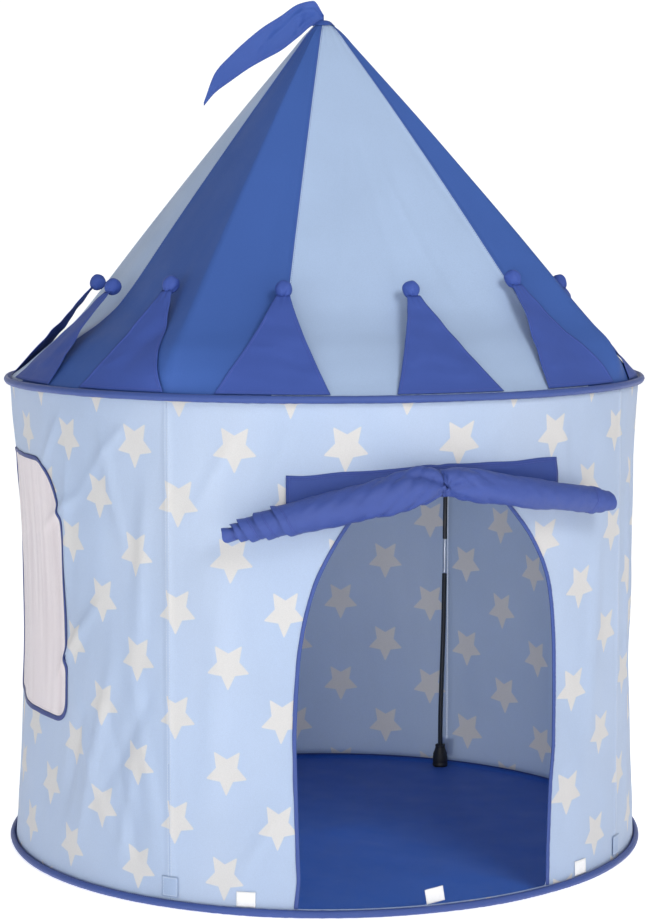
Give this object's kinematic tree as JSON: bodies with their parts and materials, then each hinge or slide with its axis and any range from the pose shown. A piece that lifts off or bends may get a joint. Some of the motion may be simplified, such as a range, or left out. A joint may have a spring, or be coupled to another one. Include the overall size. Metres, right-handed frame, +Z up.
{
  "type": "kids play tent",
  "caption": "Round play tent like a castle tower, with a printed cloth wall between sprung hoops, a peaked roof on rods, crown points and a rolled-up door.",
  "frame": {"origin": "middle of the floor sheet's underside, on the ground", "axes": "+Z up along the tent's axis, -Y out of the doorway, -X towards the window"},
  "size_m": [1.0174, 1.0579, 1.3307],
  "materials": {
    "printed_wall_cloth": "smooth woven polyester, light blue with a plain printed pattern of off-white stars",
    "light_roof_cloth": "thin woven polyester with a slight sheen",
    "dark_roof_cloth": "thin woven polyester with a slight sheen",
    "crown_cloth": "thin woven polyester",
    "flap_cloth": "thin woven polyester",
    "flag_cloth": "thin woven polyester",
    "floor_cloth": "coated woven polyester",
    "blue_tape": "ribbed woven tape",
    "blue_binding": "folded woven tape",
    "window_mesh": "fine pale mesh",
    "hook_and_loop": "white napped tape",
    "spring_steel": "oiled spring steel wire",
    "bright_steel": "drawn tube, bright",
    "rod_sheath": "satin black sheathing over a fibreglass rod",
    "boot_rubber": "matt moulded rubber"
  },
  "bodies": {
    "tent": {"floor_sheet": "floor_cloth", "base_hem": "blue_tape", "eave_hem": "blue_tape", "base_hoop": "spring_steel", "eave_hoop": "spring_steel", "wall_front": "printed_wall_cloth", "wall_right": "printed_wall_cloth", "wall_back": "printed_wall_cloth", "wall_left": "printed_wall_cloth", "door_binding": "blue_binding", "window_binding": "blue_binding", "window_mesh": "window_mesh", "boot_front_right": "boot_rubber", "rod_lower_front_right": "rod_sheath", "rod_upper_front_right": "rod_sheath", "rod_ferrule_front_right": "bright_steel", "rod_loop_front_right": "blue_tape", "boot_back_right": "boot_rubber", "rod_lower_back_right": "rod_sheath", "rod_upper_back_right": "rod_sheath", "rod_ferrule_back_right": "bright_steel", "rod_loop_back_right": "blue_tape", "boot_back_left": "boot_rubber", "rod_lower_back_left": "rod_sheath", "rod_upper_back_left": "rod_sheath", "rod_ferrule_back_left": "bright_steel", "rod_loop_back_left": "blue_tape", "boot_front_left": "boot_rubber", "rod_lower_front_left": "rod_sheath", "rod_upper_front_left": "rod_sheath", "rod_ferrule_front_left": "bright_steel", "rod_loop_front_left": "blue_tape", "peak_hub": "boot_rubber", "roof_gore_1": "light_roof_cloth", "roof_gore_2": "dark_roof_cloth", "roof_gore_3": "light_roof_cloth", "roof_gore_4": "dark_roof_cloth", "roof_gore_5": "light_roof_cloth", "roof_gore_6": "dark_roof_cloth", "peak_cap": "dark_roof_cloth", "patch_left": "hook_and_loop", "patch_right": "hook_and_loop", "patch_threshold": "hook_and_loop"},
    "door_flap": {"door_header": "flap_cloth", "door_roll": "flap_cloth", "door_tie": "flap_cloth"},
    "pennant": {"flag": "flag_cloth"},
    "crown_01": {"crown_point_01": "crown_cloth"},
    "crown_02": {"crown_point_02": "crown_cloth"},
    "crown_03": {"crown_point_03": "crown_cloth"},
    "crown_04": {"crown_point_04": "crown_cloth"},
    "crown_05": {"crown_point_05": "crown_cloth"},
    "crown_06": {"crown_point_06": "crown_cloth"},
    "crown_07": {"crown_point_07": "crown_cloth"},
    "crown_08": {"crown_point_08": "crown_cloth"},
    "crown_09": {"crown_point_09": "crown_cloth"},
    "crown_10": {"crown_point_10": "crown_cloth"},
    "crown_11": {"crown_point_11": "crown_cloth"},
    "crown_12": {"crown_point_12": "crown_cloth"}
  },
  "joints": [
    {"name": "door_flap_lift", "type": "hinge", "parent": "tent", "child": "door_flap", "pos_m": [0, -0.4934, 0.645], "axis": [-1, 0, 0], "range_deg": [0, 90]},
    {"name": "pennant_lift", "type": "hinge", "parent": "tent", "child": "pennant", "pos_m": [0, 0, 1.3011], "axis": [0.2756, 0.9613, 0], "range_deg": [0, 90]},
    {"name": "crown_fold_01", "type": "hinge", "parent": "tent", "child": "crown_01", "pos_m": [0.02583, -0.49287, 0.7458], "axis": [0.9986, 0.0523, 0], "range_deg": [0, 100]},
    {"name": "crown_fold_02", "type": "hinge", "parent": "tent", "child": "crown_02", "pos_m": [0.27055, -0.41661, 0.7458], "axis": [0.8387, 0.5446, 0], "range_deg": [0, 100]},
    {"name": "crown_fold_03", "type": "hinge", "parent": "tent", "child": "crown_03", "pos_m": [0.44156, -0.22498, 0.7458], "axis": [0.454, 0.891, 0], "range_deg": [0, 100]},
    {"name": "crown_fold_04", "type": "hinge", "parent": "tent", "child": "crown_04", "pos_m": [0.49287, 0.02583, 0.7458], "axis": [-0.0523, 0.9986, 0], "range_deg": [0, 100]},
    {"name": "crown_fold_05", "type": "hinge", "parent": "tent", "child": "crown_05", "pos_m": [0.41661, 0.27055, 0.7458], "axis": [-0.5446, 0.8387, 0], "range_deg": [0, 100]},
    {"name": "crown_fold_06", "type": "hinge", "parent": "tent", "child": "crown_06", "pos_m": [0.22498, 0.44156, 0.7458], "axis": [-0.891, 0.454, 0], "range_deg": [0, 100]},
    {"name": "crown_fold_07", "type": "hinge", "parent": "tent", "child": "crown_07", "pos_m": [-0.02583, 0.49287, 0.7458], "axis": [-0.9986, -0.0523, 0], "range_deg": [0, 100]},
    {"name": "crown_fold_08", "type": "hinge", "parent": "tent", "child": "crown_08", "pos_m": [-0.27055, 0.41661, 0.7458], "axis": [-0.8387, -0.5446, 0], "range_deg": [0, 100]},
    {"name": "crown_fold_09", "type": "hinge", "parent": "tent", "child": "crown_09", "pos_m": [-0.44156, 0.22498, 0.7458], "axis": [-0.454, -0.891, 0], "range_deg": [0, 100]},
    {"name": "crown_fold_10", "type": "hinge", "parent": "tent", "child": "crown_10", "pos_m": [-0.49287, -0.02583, 0.7458], "axis": [0.0523, -0.9986, 0], "range_deg": [0, 100]},
    {"name": "crown_fold_11", "type": "hinge", "parent": "tent", "child": "crown_11", "pos_m": [-0.41661, -0.27055, 0.7458], "axis": [0.5446, -0.8387, 0], "range_deg": [0, 100]},
    {"name": "crown_fold_12", "type": "hinge", "parent": "tent", "child": "crown_12", "pos_m": [-0.22498, -0.44156, 0.7458], "axis": [0.891, -0.454, 0], "range_deg": [0, 100]}
  ]
}
